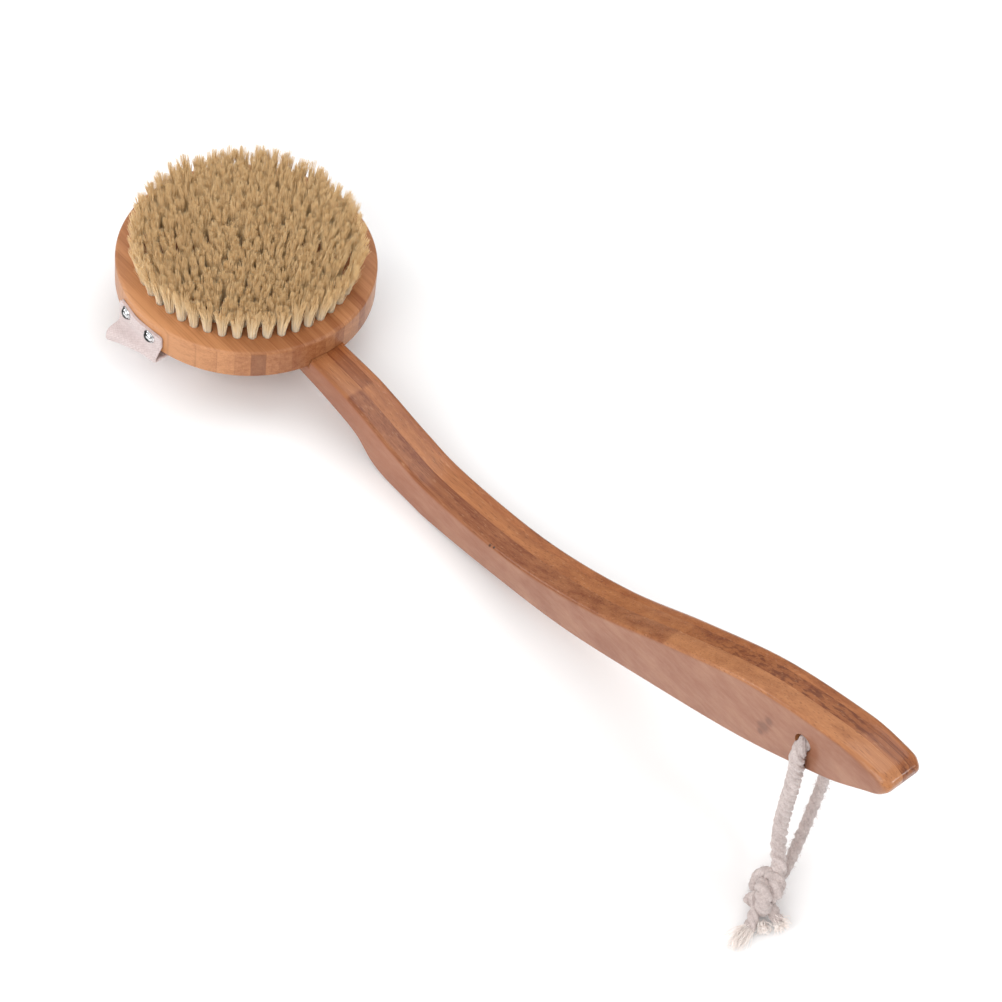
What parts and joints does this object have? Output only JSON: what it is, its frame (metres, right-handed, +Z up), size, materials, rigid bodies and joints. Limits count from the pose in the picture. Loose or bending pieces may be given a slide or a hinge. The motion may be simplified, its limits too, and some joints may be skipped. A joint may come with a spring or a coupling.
{
  "type": "body dry brush",
  "caption": "Round bamboo body dry brush with natural bristles, canvas hand strap and a long curved handle that slides off; a knotted rope loop hangs through the handle's end.",
  "frame": {"origin": "centre of the object's footprint, on the surface it lies on, bristles up (the rope and its knot aren't counted)", "axes": "+X from the head along the handle, +Z up out of the bristle face, +Y across the head along the hand strap"},
  "size_m": [0.4096, 0.114, 0.0898],
  "materials": {
    "head_bamboo": "satin clear-lacquered bamboo board, strips about 6 mm wide along the handle's direction",
    "handle_bamboo": "satin to glossy clear-lacquered bamboo, three layers of strips of different tone",
    "bristle": "natural tan bristle, matt with a slight sheen",
    "strap_canvas": "off-white plain-weave cotton canvas",
    "tack_chrome": "polished domed tack heads",
    "rope_cotton": "off-white three-strand twisted cotton rope, frayed ends"
  },
  "bodies": {
    "head": {"head_block": "head_bamboo", "bristle_ring_1": "bristle", "bristle_ring_2": "bristle", "bristle_ring_3": "bristle", "bristle_ring_4": "bristle", "bristle_ring_5": "bristle", "bristle_ring_6": "bristle", "bristle_ring_7": "bristle", "bristle_ring_8": "bristle", "hand_strap": "strap_canvas", "strap_tack_1": "tack_chrome", "strap_tack_2": "tack_chrome", "strap_tack_3": "tack_chrome", "strap_tack_4": "tack_chrome"},
    "handle": {"handle_slat_near": "handle_bamboo", "handle_slat_middle": "handle_bamboo", "handle_slat_far": "handle_bamboo", "rope_strand_near": "rope_cotton", "rope_strand_far": "rope_cotton", "rope_knot": "rope_cotton", "rope_end_1": "rope_cotton", "rope_end_2": "rope_cotton"}
  },
  "joints": [
    {"name": "handle_slide", "type": "slide", "parent": "head", "child": "handle", "axis": [1, 0, 0], "range_m": [0, 0.065]}
  ]
}
